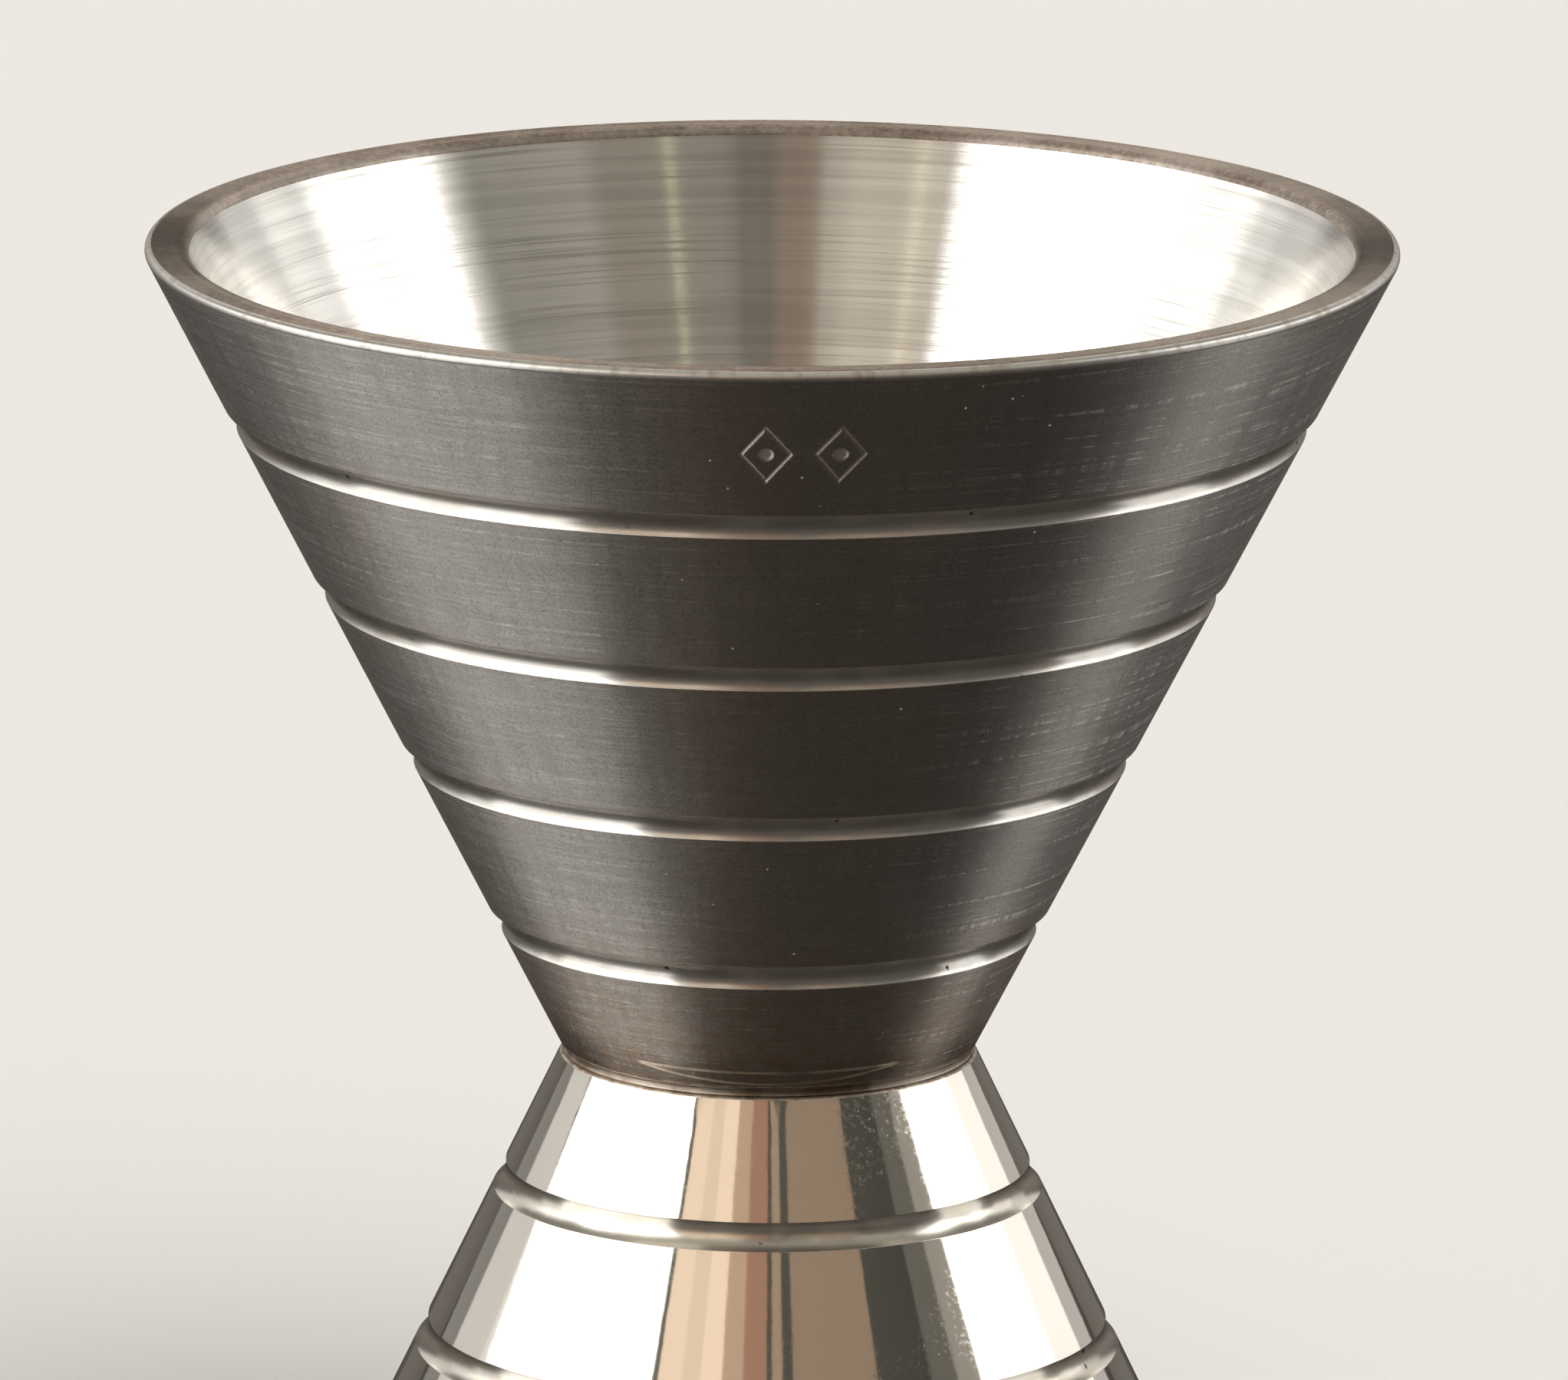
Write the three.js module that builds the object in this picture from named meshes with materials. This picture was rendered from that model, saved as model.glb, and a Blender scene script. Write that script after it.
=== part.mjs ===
// A bar jigger: two heavy conical measuring cups joined base to base at a narrow waist.
// The large cup opens upwards and the small cup opens downwards, so the jigger stands on the small
// cup's rim. Each cup is one turned body with round-bottomed grooves cut around its outside. A short
// fine-threaded stud holds the two floors together, and a thin ring of silver solder closes the seam.
// Frame: millimetres, +Z up the axis of both cups, origin at the centre of the small cup's rim plane.

import * as THREE from "three";

// Driving dimensions.
const LARGE_RIM_RADIUS = 33.55; // where the outer cone meets the rim plane, before the edge is broken
const LARGE_HEIGHT = 43.8; // waist plane to large rim
const SMALL_RIM_RADIUS = 26.85;
const SMALL_HEIGHT = 33.1; // small rim to waist plane
const WAIST_RADIUS = 11; // where the two outer cones would meet
const WALL = 2.1; // measured square to the cone
const FLOOR = 4; // waist plane to the inside floor of either cup
const FLOOR_CORNER = 2; // inside radius between floor and wall

// Grooves: centres are counted from each cup's rim at an even pitch down the axis.
const LARGE_GROOVES = 4;
const LARGE_PITCH = 9.17;
const SMALL_GROOVES = 3;
const SMALL_PITCH = 8.68;
const GROOVE_RADIUS = 0.9;
const GROOVE_DEPTH = 0.45;

// Softened rim edges.
const OUTER_EDGE = 0.12;
const INNER_EDGE = 0.8;

// Waist joint.
const JOINT = 0.5; // space between the two floors
const SEAM = 0.05; // clearance on each face of the solder ring and around the stud
const STUD_RADIUS = 4;
const STUD_LENGTH = 5;
const STUD_CHAMFER = 0.5;
const STUD_END_SPACE = 0.2; // free space past each end of the stud
const SOLDER_INSET = 0.06; // how far the ring's concave face dips behind its own edges

// Facets.
const AROUND = 64;
const GROOVE_STEPS = 5;
const EDGE_STEPS = 3;
const CORNER_STEPS = 4;

// Points along an arc of the given radius that rounds the corner between two straight runs.
function roundedCorner(before, corner, after, radius, steps) {
  const toBefore = before.clone().sub(corner).normalize();
  const toAfter = after.clone().sub(corner).normalize();
  const half = Math.acos(toBefore.dot(toAfter)) / 2;
  const middle = toBefore.clone().add(toAfter).normalize();
  const centre = corner.clone().addScaledVector(middle, radius / Math.sin(half));
  const first = corner.clone().addScaledVector(toBefore, radius / Math.tan(half)).sub(centre);
  const last = corner.clone().addScaledVector(toAfter, radius / Math.tan(half)).sub(centre);
  const turn = Math.atan2(first.cross(last), first.dot(last));
  return Array.from({ length: steps + 1 }, (_, i) =>
    first.clone().rotateAround(new THREE.Vector2(), (turn * i) / steps).add(centre),
  );
}

// Points of one round-bottomed groove, from its waist-side lip to its rim-side lip.
// `middle` lies on the cone, `along` points to the rim and `outward` away from the metal.
function groovePoints(middle, along, outward) {
  const rise = GROOVE_RADIUS - GROOVE_DEPTH;
  const halfAngle = Math.acos(rise / GROOVE_RADIUS);
  return Array.from({ length: GROOVE_STEPS + 1 }, (_, i) => {
    const angle = halfAngle * ((2 * i) / GROOVE_STEPS - 1);
    return middle
      .clone()
      .addScaledVector(along, GROOVE_RADIUS * Math.sin(angle))
      .addScaledVector(outward, rise - GROOVE_RADIUS * Math.cos(angle));
  });
}

// Half section of a cup as (radius, height above the waist plane), rim upwards, from the bottom of
// the stud's hole on the axis round the outside and back to the middle of the inside floor.
function cupSection(rimRadius, height, grooveCount, pitch) {
  const slope = (rimRadius - WAIST_RADIUS) / height;
  const along = new THREE.Vector2(slope, 1).normalize();
  const outward = new THREE.Vector2(along.y, -along.x);
  const wallAcross = WALL / along.y;
  const onOutside = (h) => new THREE.Vector2(WAIST_RADIUS + slope * h, h);
  const onInside = (h) => new THREE.Vector2(WAIST_RADIUS + slope * h - wallAcross, h);

  const holeRadius = STUD_RADIUS + SEAM;
  const holeTop = STUD_LENGTH / 2 + STUD_END_SPACE;
  const grooves = Array.from({ length: grooveCount }, (_, i) =>
    groovePoints(onOutside(height - pitch * (grooveCount - i)), along, outward),
  );
  const foot = onOutside(JOINT / 2);
  const outerRim = onOutside(height);
  const innerRim = onInside(height);
  const floorCorner = onInside(FLOOR);
  const floorMiddle = new THREE.Vector2(0, FLOOR);
  return [
    new THREE.Vector2(0, holeTop),
    new THREE.Vector2(holeRadius, holeTop),
    new THREE.Vector2(holeRadius, JOINT / 2),
    foot,
    ...grooves.flat(),
    ...roundedCorner(foot, outerRim, innerRim, OUTER_EDGE, EDGE_STEPS),
    ...roundedCorner(outerRim, innerRim, floorCorner, INNER_EDGE, EDGE_STEPS),
    ...roundedCorner(innerRim, floorCorner, floorMiddle, FLOOR_CORNER, CORNER_STEPS),
    floorMiddle,
  ];
}

// Half section of the stud, centred on the waist plane.
function studSection() {
  const half = STUD_LENGTH / 2;
  return [
    new THREE.Vector2(0, -half),
    new THREE.Vector2(STUD_RADIUS - STUD_CHAMFER, -half),
    new THREE.Vector2(STUD_RADIUS, STUD_CHAMFER - half),
    new THREE.Vector2(STUD_RADIUS, half - STUD_CHAMFER),
    new THREE.Vector2(STUD_RADIUS - STUD_CHAMFER, half),
    new THREE.Vector2(0, half),
  ];
}

// Closed section of the solder ring, centred on the waist plane, with a slightly hollow outer face.
function solderSection() {
  const inner = STUD_RADIUS + SEAM;
  const half = JOINT / 2 - SEAM;
  return [
    new THREE.Vector2(inner, -half),
    new THREE.Vector2(WAIST_RADIUS, -half),
    new THREE.Vector2(WAIST_RADIUS - SOLDER_INSET, 0),
    new THREE.Vector2(WAIST_RADIUS, half),
    new THREE.Vector2(inner, half),
    new THREE.Vector2(inner, -half),
  ];
}

// The same section turned over, so that the cup it makes opens downwards.
function turnedOver(section) {
  return section.map((p) => new THREE.Vector2(p.x, -p.y)).reverse();
}

// One turned piece: the section is spun about the axis and stood up along +Z at the waist plane.
function turned(name, section, material) {
  const geometry = new THREE.LatheGeometry(section, AROUND).rotateX(Math.PI / 2);
  const mesh = new THREE.Mesh(geometry, material);
  mesh.name = name;
  mesh.position.z = SMALL_HEIGHT;
  return mesh;
}

const satinPlate = new THREE.MeshStandardMaterial({
  color: 0xb9b2a8,
  metalness: 1,
  roughness: 0.32,
});
const polishedPlate = new THREE.MeshStandardMaterial({
  color: 0xd6cdbf,
  metalness: 1,
  roughness: 0.08,
});
const silverSolder = new THREE.MeshStandardMaterial({
  color: 0x8f877c,
  metalness: 1,
  roughness: 0.45,
});
const yellowBrass = new THREE.MeshStandardMaterial({
  color: 0xb5954f,
  metalness: 1,
  roughness: 0.4,
});

const largeSection = cupSection(LARGE_RIM_RADIUS, LARGE_HEIGHT, LARGE_GROOVES, LARGE_PITCH);
const smallSection = cupSection(SMALL_RIM_RADIUS, SMALL_HEIGHT, SMALL_GROOVES, SMALL_PITCH);

const jigger = new THREE.Group();
jigger.add(
  turned("large_cup", largeSection, satinPlate),
  turned("small_cup", turnedOver(smallSection), polishedPlate),
  turned("joining_stud", studSection(), yellowBrass),
  turned("solder_ring", solderSection(), silverSolder),
);

export default jigger;
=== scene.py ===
"""Looks of a bar jigger: two turned, silver-plated cups joined base to base, on a plain pale floor.

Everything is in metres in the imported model's own frame: +Z up the axis, origin on the floor.
"""

import math

import bpy
import numpy as np
from mathutils import Matrix, Vector


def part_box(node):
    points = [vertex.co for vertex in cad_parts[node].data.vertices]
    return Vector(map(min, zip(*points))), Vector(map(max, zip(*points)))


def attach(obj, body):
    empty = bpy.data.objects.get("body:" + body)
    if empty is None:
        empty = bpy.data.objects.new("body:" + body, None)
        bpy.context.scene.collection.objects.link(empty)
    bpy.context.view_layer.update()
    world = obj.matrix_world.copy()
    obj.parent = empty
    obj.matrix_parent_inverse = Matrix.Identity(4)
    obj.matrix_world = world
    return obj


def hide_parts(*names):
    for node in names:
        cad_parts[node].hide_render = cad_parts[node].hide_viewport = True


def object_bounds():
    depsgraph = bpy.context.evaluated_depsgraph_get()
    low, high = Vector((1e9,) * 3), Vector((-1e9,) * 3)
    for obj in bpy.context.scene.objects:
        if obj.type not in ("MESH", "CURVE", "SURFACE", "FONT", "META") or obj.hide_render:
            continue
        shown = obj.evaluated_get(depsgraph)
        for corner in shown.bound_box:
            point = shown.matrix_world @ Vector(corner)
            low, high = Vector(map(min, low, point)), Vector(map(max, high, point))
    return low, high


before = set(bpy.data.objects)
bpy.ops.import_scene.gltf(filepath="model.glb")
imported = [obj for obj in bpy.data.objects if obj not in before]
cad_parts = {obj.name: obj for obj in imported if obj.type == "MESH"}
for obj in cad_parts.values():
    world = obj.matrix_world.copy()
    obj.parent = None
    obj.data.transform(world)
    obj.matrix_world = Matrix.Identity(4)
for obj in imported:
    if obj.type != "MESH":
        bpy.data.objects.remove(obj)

MM = 0.001
MICRON = 0.001 * MM
BODY = "root"

cad_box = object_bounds()
large_low, large_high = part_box("large_cup")
small_low, small_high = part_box("small_cup")
WAIST_Z = (large_low.z + small_high.z) / 2
LARGE_HEIGHT = large_high.z - WAIST_Z
SMALL_HEIGHT = WAIST_Z - small_low.z

# The cups' driving dimensions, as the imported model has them.
WAIST_RADIUS = 11 * MM
LARGE_RIM_RADIUS = 33.55 * MM
SMALL_RIM_RADIUS = 26.85 * MM
WALL = 2.1 * MM
FLOOR = 4 * MM
FLOOR_CORNER = 2 * MM
LARGE_GROOVES, LARGE_PITCH = 4, 9.17 * MM
SMALL_GROOVES, SMALL_PITCH = 3, 8.68 * MM
GROOVE_WIDTH = 1.56 * MM
GROOVE_DEPTH = 0.45 * MM
INNER_EDGE = 0.8 * MM
JOINT = 0.5 * MM
SEAM = 0.05 * MM
STUD_RADIUS = 4 * MM
STUD_SPACE = 2.7 * MM  # from the waist plane to the blind end of the stud's hole

# Fine detail that only the looks have.
POLISHED_GROOVE_DEPTH = 0.22 * MM  # the small cup's grooves, polished down
LIP_RADIUS = 0.07 * MM  # break of each groove's two edges
OUTER_EDGE = 0.34 * MM  # the rim's outer edge, rubbed a little rounder than new
FOOT_EDGE = 0.22 * MM  # break of each cup's edge at the waist
THREAD_PITCH = 0.75 * MM
THREAD_DEPTH = 0.3 * MM
THREAD_END = 0.5 * MM  # the thread fades out over this length at both ends of the stud
SOLDER_HOLLOW = 0.06 * MM  # how far the solder's outer face dips in
SOLDER_WAVE = 0.03 * MM  # its unevenness

# How finely the meshes are divided.
AROUND = 384
GROOVE_STEPS = 18
LIP_STEPS = 4
EDGE_STEPS = 6
FOOT_STEPS = 5
CORNER_STEPS = 12
SOLDER_STEPS = 8
THREAD_AROUND = 48
THREAD_ROWS = 8  # in one turn of the thread
HOLD = 0.02 * MM  # a straight run's shading is held this close to its ends
END_ROWS = (HOLD, 0.25 * MM, 0.5 * MM, 0.8 * MM, 1.2 * MM, 1.8 * MM)  # rows near each end, for the tarnish

# The engraved ornament on the large cup's top band: two hollow lozenges, each round a dot.
MARK_TURN = math.radians(3)  # to the right of the front
MARK_BELOW_RIM = 5.4 * MM  # down the slope to the ornament's middle
MARK_SPACING = 3.9 * MM
MARK_HALF_WIDTH = 1.3 * MM
MARK_HALF_HEIGHT = 1.75 * MM
MARK_DOT = 0.32 * MM
MARK_STROKE = 0.16 * MM  # half the width of a cut
MARK_DEPTH = 0.1 * MM
MARK_STEP = 0.06 * MM  # mesh spacing across the ornament

CREVICE_REACH = 0.5 * MM  # how far tarnish spreads out of a groove or the waist seam
ACROSS_THE_TURNING = 0.25  # turned metal spreads light across its rings, a quarter turn from them


# ---------------------------------------------------------------- sections

def corner_arc(before, corner, after, radius, steps):
    """Points of an arc that rounds the corner between two straight runs."""
    before, corner, after = (np.asarray(p, float) for p in (before, corner, after))
    to_before = (before - corner) / np.linalg.norm(before - corner)
    to_after = (after - corner) / np.linalg.norm(after - corner)
    half = math.acos(float(np.clip(to_before @ to_after, -1, 1))) / 2
    middle = (to_before + to_after) / np.linalg.norm(to_before + to_after)
    centre = corner + middle * radius / math.sin(half)
    first = corner + to_before * radius / math.tan(half) - centre
    last = corner + to_after * radius / math.tan(half) - centre
    turn = math.atan2(first[0] * last[1] - first[1] * last[0], float(first @ last))
    angles = np.linspace(0, turn, steps + 1)
    across = np.array((-first[1], first[0]))
    return centre + np.outer(np.cos(angles), first) + np.outer(np.sin(angles), across)


def groove_arcs(middle, along, outward, depth):
    """One groove's waist-side lip, bottom and rim-side lip, as three runs of points. Each lip is an
    arc between two directions, so the points that give them may be a metre away."""
    half_width = GROOVE_WIDTH / 2
    radius = (half_width**2 + depth**2) / (2 * depth)
    rise = radius - depth
    half_angle = math.acos(rise / radius)
    low_lip, high_lip = middle - along * half_width, middle + along * half_width
    into_low = along * math.cos(half_angle) - outward * math.sin(half_angle)
    into_high = -along * math.cos(half_angle) - outward * math.sin(half_angle)
    low = corner_arc(low_lip - along, low_lip, low_lip + into_low, LIP_RADIUS, LIP_STEPS)
    high = corner_arc(high_lip + into_high, high_lip, high_lip + along, LIP_RADIUS, LIP_STEPS)
    inner = half_angle - 1.5 * LIP_RADIUS / radius
    angles = np.linspace(-inner, inner, GROOVE_STEPS + 1)
    arc = middle + np.outer(radius * np.sin(angles), along)
    arc = arc + np.outer(rise - radius * np.cos(angles), outward)
    return low, arc, high


def joined(runs):
    """Joins (points, finish) runs. The straight stretch before each run takes `gap` as its finish,
    and gets extra points near its ends, the first so close that the shading stays flat."""
    points, finishes = [], []
    for gap, run, finish in runs:
        run = np.atleast_2d(run)
        if points:
            start, end = points[-1], run[0]
            length = np.linalg.norm(end - start)
            along = (end - start) / max(length, 1e-12)
            offsets = [offset for offset in END_ROWS if 2.5 * offset < length]
            rows = [start + along * offset for offset in offsets]
            rows += [end - along * offset for offset in reversed(offsets)]
            points += rows
            finishes += [gap] * len(rows)
        for point in run:
            points.append(point)
            finishes.append(finish)
        finishes[-1] = None  # the stretch after a run's last point takes the finish that follows
    for i in reversed(range(len(finishes))):
        if finishes[i] is None:
            finishes[i] = finishes[i + 1] if i + 1 < len(finishes) else finishes[i - 1]
    return np.array(points), finishes


class Cup:
    """One cup's cone, measured from the waist plane towards its rim."""

    def __init__(self, rim_radius, height, grooves, pitch, groove_depth):
        self.rim_radius, self.height = rim_radius, height
        self.groove_depth = groove_depth
        self.slope = (rim_radius - WAIST_RADIUS) / height
        self.along = np.array((self.slope, 1)) / math.hypot(self.slope, 1)
        self.outward = np.array((self.along[1], -self.along[0]))
        self.wall_across = WALL / self.along[1]
        self.groove_heights = [height - pitch * (i + 1) for i in reversed(range(grooves))]

    def outside(self, height):
        return np.array((WAIST_RADIUS + self.slope * height, height))

    def inside(self, height):
        return self.outside(height) - (self.wall_across, 0)

    def section(self):
        """Half section as (radius, height) with the finish of each stretch, from the stud's hole on
        the axis round the outside and back to the middle of the inside floor."""
        hole_radius = STUD_RADIUS + SEAM
        foot = self.outside(JOINT / 2)
        foot_inner = np.array((hole_radius, JOINT / 2))
        outer_rim, inner_rim = self.outside(self.height), self.inside(self.height)
        floor_corner, floor_middle = self.inside(FLOOR), np.array((0, FLOOR))
        first_band = self.outside(self.height / 4)
        runs = [
            ("joint", (0, STUD_SPACE), "joint"),
            ("joint", (hole_radius, STUD_SPACE), "joint"),
            ("joint", foot_inner, "joint"),
            ("joint", corner_arc(foot_inner, foot, first_band, FOOT_EDGE, FOOT_STEPS), "foot"),
        ]
        for height in self.groove_heights:
            middle = self.outside(height)
            low, arc, high = groove_arcs(middle, self.along, self.outward, self.groove_depth)
            runs += [("outside", low, "lip"), ("groove", arc, "groove"), ("groove", high, "lip")]
        outer_edge = corner_arc(foot, outer_rim, inner_rim, OUTER_EDGE, EDGE_STEPS)
        inner_edge = corner_arc(outer_rim, inner_rim, floor_corner, INNER_EDGE, EDGE_STEPS)
        corner = corner_arc(inner_rim, floor_corner, floor_middle, FLOOR_CORNER, CORNER_STEPS)
        runs += [
            ("outside", outer_edge, "edge"),
            ("rim", inner_edge, "rim"),
            ("inside", corner, "inside"),
            ("inside", floor_middle, "inside"),
        ]
        return joined(runs)


def with_rows(points, finishes, start, end, step):
    """Adds evenly spaced points to the straight stretch that spans start and end."""
    spans = [i for i in range(len(points) - 1) if points[i][1] < start[1] and points[i + 1][1] > end[1]]
    index = spans[0]
    count = max(2, int(np.linalg.norm(end - start) / step))
    rows = start + np.outer(np.linspace(0, 1, count + 1), end - start)
    points = np.vstack((points[: index + 1], rows, points[index + 1 :]))
    finishes = finishes[: index + 1] + [finishes[index]] * len(rows) + finishes[index + 1 :]
    return points, finishes


# ---------------------------------------------------------------- meshes

def spin(name, points, finishes, angles, closed=False, sink=None, turned_over=False):
    """Spins a section about Z into one closed mesh, one material slot per finish.
    `sink` gives each vertex a depth to move in along the section's normal."""
    count = len(angles)
    points = np.asarray(points, float)
    tangent = np.gradient(points, axis=0)
    normals = np.column_stack((tangent[:, 1], -tangent[:, 0]))
    normals /= np.maximum(np.linalg.norm(normals, axis=1), 1e-12)[:, None]
    radius = np.repeat(points[:, 0], count).reshape(-1, count)
    height = np.repeat(points[:, 1], count).reshape(-1, count)
    depth = np.zeros_like(radius) if sink is None else sink(radius, height, angles)
    radius = radius - depth * normals[:, :1]
    height = height - depth * normals[:, 1:]
    z = WAIST_Z + (-height if turned_over else height)
    grid = np.stack((radius * np.sin(angles), -radius * np.cos(angles), z), axis=-1)
    on_axis = points[:, 0] < 1e-9

    vertices, rows, cuts = [], [], []
    for row, single in enumerate(on_axis):
        start = len(vertices)
        vertices += grid[row, :1].tolist() if single else grid[row].tolist()
        cuts += depth[row, :1].tolist() if single else depth[row].tolist()
        rows.append([start] * count if single else list(range(start, start + count)))
    faces, slots = [], []
    names = sorted(set(finishes))
    pairs = [(i, i + 1) for i in range(len(points) - 1)]
    if closed:
        pairs.append((len(points) - 1, 0))
    for low, high in pairs:
        for k in range(count):
            following = (k + 1) % count
            face = [rows[low][k], rows[low][following], rows[high][following], rows[high][k]]
            face = list(dict.fromkeys(face))
            faces.append(face[::-1] if turned_over else face)
            slots.append(names.index(finishes[low]))

    mesh = bpy.data.meshes.new(name)
    mesh.from_pydata(vertices, [], faces)
    mesh.polygons.foreach_set("material_index", slots)
    mesh.polygons.foreach_set("use_smooth", [True] * len(faces))
    for finish in names:
        mesh.materials.append(FINISHES[finish])
    cut = mesh.attributes.new("cut", "FLOAT", "POINT")
    cut.data.foreach_set("value", np.minimum(np.array(cuts) / MARK_DEPTH, 1).astype(np.float32))
    mesh.update()
    piece = bpy.data.objects.new(name, mesh)
    bpy.context.scene.collection.objects.link(piece)
    return piece


def even_angles(count=AROUND):
    return np.linspace(0, 2 * math.pi, count, endpoint=False)


def add_crevice(piece, cup, turned_over):
    """Stores how near each vertex is to a groove or to the waist seam, for the tarnish."""
    mesh = piece.data
    places = np.empty(len(mesh.vertices) * 3)
    mesh.vertices.foreach_get("co", places)
    places = places.reshape(-1, 3)
    height = (WAIST_Z - places[:, 2]) if turned_over else (places[:, 2] - WAIST_Z)
    nearest = np.min([np.abs(height - h) for h in cup.groove_heights] + [np.abs(height)], axis=0)
    value = np.exp(-((nearest / CREVICE_REACH) ** 2) / 2)
    attribute = mesh.attributes.new("crevice", "FLOAT", "POINT")
    attribute.data.foreach_set("value", value.astype(np.float32))


def mark_sink(cup):
    """Depth of the ornament's cuts over the large cup, zero elsewhere."""
    middle_height = cup.height - MARK_BELOW_RIM * cup.along[1]
    middle_radius = cup.outside(middle_height)[0]

    def sink(radius, height, angles):
        turn = (angles - MARK_TURN + math.pi) % (2 * math.pi) - math.pi
        across = np.broadcast_to(turn * middle_radius, radius.shape)
        up = (height - middle_height) / cup.along[1]
        on_band = np.abs(radius - (WAIST_RADIUS + cup.slope * height)) < WALL / 4
        depth = np.zeros_like(radius)
        for side in (-0.5, 0.5):
            from_middle = across - side * MARK_SPACING
            lozenge = np.abs(from_middle) / MARK_HALF_WIDTH + np.abs(up) / MARK_HALF_HEIGHT - 1
            scale = MARK_HALF_WIDTH * MARK_HALF_HEIGHT / math.hypot(MARK_HALF_WIDTH, MARK_HALF_HEIGHT)
            line = np.abs(lozenge) * scale
            dot = np.maximum(np.hypot(from_middle, up) - MARK_DOT, 0)
            near = np.clip(1 - np.minimum(line, dot) / MARK_STROKE, 0, 1)
            depth = np.maximum(depth, near * near * (3 - 2 * near))
        return MARK_DEPTH * depth * on_band

    return sink


def make_large_cup():
    cup = Cup(LARGE_RIM_RADIUS, LARGE_HEIGHT, LARGE_GROOVES, LARGE_PITCH, GROOVE_DEPTH)
    points, finishes = cup.section()
    middle = cup.height - MARK_BELOW_RIM * cup.along[1]
    reach = (MARK_HALF_HEIGHT + 2 * MARK_STROKE) * cup.along[1]
    points, finishes = with_rows(
        points, finishes, cup.outside(middle - reach), cup.outside(middle + reach), MARK_STEP
    )
    radius = cup.outside(middle)[0]
    half_turn = (MARK_SPACING / 2 + MARK_HALF_WIDTH + 2 * MARK_STROKE) / radius
    fine = MARK_TURN + np.arange(-half_turn, half_turn, MARK_STEP / radius)
    coarse = even_angles()
    apart = np.abs((coarse - MARK_TURN + math.pi) % (2 * math.pi) - math.pi)
    angles = np.sort(np.concatenate((coarse[apart > half_turn * 1.01], fine % (2 * math.pi))))
    piece = spin("large_cup_turned", points, finishes, angles, sink=mark_sink(cup))
    add_crevice(piece, cup, turned_over=False)
    return piece


def make_small_cup():
    cup = Cup(SMALL_RIM_RADIUS, SMALL_HEIGHT, SMALL_GROOVES, SMALL_PITCH, POLISHED_GROOVE_DEPTH)
    points, finishes = cup.section()
    renamed = {"outside": "polished", "groove": "polished_groove", "lip": "polished_lip",
               "edge": "polished_lip"}
    finishes = [renamed.get(finish, finish) for finish in finishes]
    piece = spin("small_cup_turned", points, finishes, even_angles(), turned_over=True)
    add_crevice(piece, cup, turned_over=True)
    return piece


def make_solder_ring():
    """The solder's hollow outer face, with a slightly uneven edge where it flowed."""
    inner, half = STUD_RADIUS + SEAM, JOINT / 2 - SEAM / 2
    across = np.linspace(-1, 1, SOLDER_STEPS + 1)
    face = np.column_stack((WAIST_RADIUS - SOLDER_HOLLOW * (1 - across**2), half * across))
    points = np.vstack(([(inner, -half)], face, [(inner, half)]))

    def sink(radius, height, angles):
        wave = 0.5 + 0.3 * np.sin(5 * angles + 0.7) + 0.2 * np.sin(13 * angles + 2.1)
        on_face = radius > (inner + WAIST_RADIUS) / 2
        return SOLDER_WAVE * wave * on_face

    finishes = ["solder"] * len(points)
    return spin("solder_ring_flowed", points, finishes, even_angles(), closed=True, sink=sink)


def make_stud():
    """The joining stud with its real thread, which is hidden inside the waist."""
    stud_low, stud_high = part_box("joining_stud")
    half = (stud_high.z - stud_low.z) / 2
    along = int(2 * half / THREAD_PITCH * THREAD_ROWS)
    heights = np.linspace(-half, half, along + 1)
    angles = even_angles(THREAD_AROUND)
    vertices, faces = [], []
    for height in heights:
        end = min(1.0, (half - abs(height)) / THREAD_END)
        for angle in angles:
            phase = (height / THREAD_PITCH - angle / (2 * math.pi)) % 1
            crest = abs(2 * phase - 1)
            radius = STUD_RADIUS - THREAD_DEPTH * (1 - crest * end)
            vertices.append((radius * math.sin(angle), -radius * math.cos(angle), WAIST_Z + height))
    for row in range(along):
        low, high = row * THREAD_AROUND, (row + 1) * THREAD_AROUND
        for k in range(THREAD_AROUND):
            following = (k + 1) % THREAD_AROUND
            faces.append((low + k, low + following, high + following, high + k))
    faces.append(tuple(reversed(range(THREAD_AROUND))))
    faces.append(tuple(range(along * THREAD_AROUND, (along + 1) * THREAD_AROUND)))
    mesh = bpy.data.meshes.new("joining_stud_threaded")
    mesh.from_pydata(vertices, [], faces)
    mesh.materials.append(FINISHES["stud"])
    mesh.update()
    piece = bpy.data.objects.new("joining_stud_threaded", mesh)
    bpy.context.scene.collection.objects.link(piece)
    return piece


# ---------------------------------------------------------------- materials

# The colours of each metal, and of what lies on it.
SATIN = (0.62, 0.60, 0.56, 1)
SATIN_TARNISH = (0.56, 0.42, 0.30, 1)
SATIN_STROKE = (0.80, 0.77, 0.73, 1)
SATIN_SCRATCH = (0.95, 0.92, 0.88, 1)
SATIN_PORE = (0.33, 0.30, 0.27, 1)
FRESH_CUT = (0.93, 0.90, 0.85, 1)
PAINTED_LIP_REFLECTION = (0.96, 0.84, 0.68, 1)
DUST = (0.30, 0.285, 0.25, 1)
DIRT = (0.10, 0.045, 0.03, 1)
RIM, RIM_MOTTLE = (0.72, 0.62, 0.54, 1), (0.34, 0.26, 0.21, 1)
RIM_BAND, RIM_SPECK = (0.82, 0.74, 0.66, 1), (0.9, 0.86, 0.8, 1)
INSIDE, INSIDE_DULL = (0.94, 0.92, 0.87, 1), (0.82, 0.80, 0.75, 1)
INSIDE_LINE, INSIDE_SCRATCH = (0.64, 0.61, 0.56, 1), (0.95, 0.93, 0.88, 1)
POLISH, POLISH_TARNISH = (0.89, 0.845, 0.765, 1), (0.62, 0.53, 0.42, 1)
POLISH_DIRT = (0.16, 0.08, 0.055, 1)
SILVER, OLD_SILVER = (0.88, 0.85, 0.80, 1), (0.58, 0.51, 0.42, 1)
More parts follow.
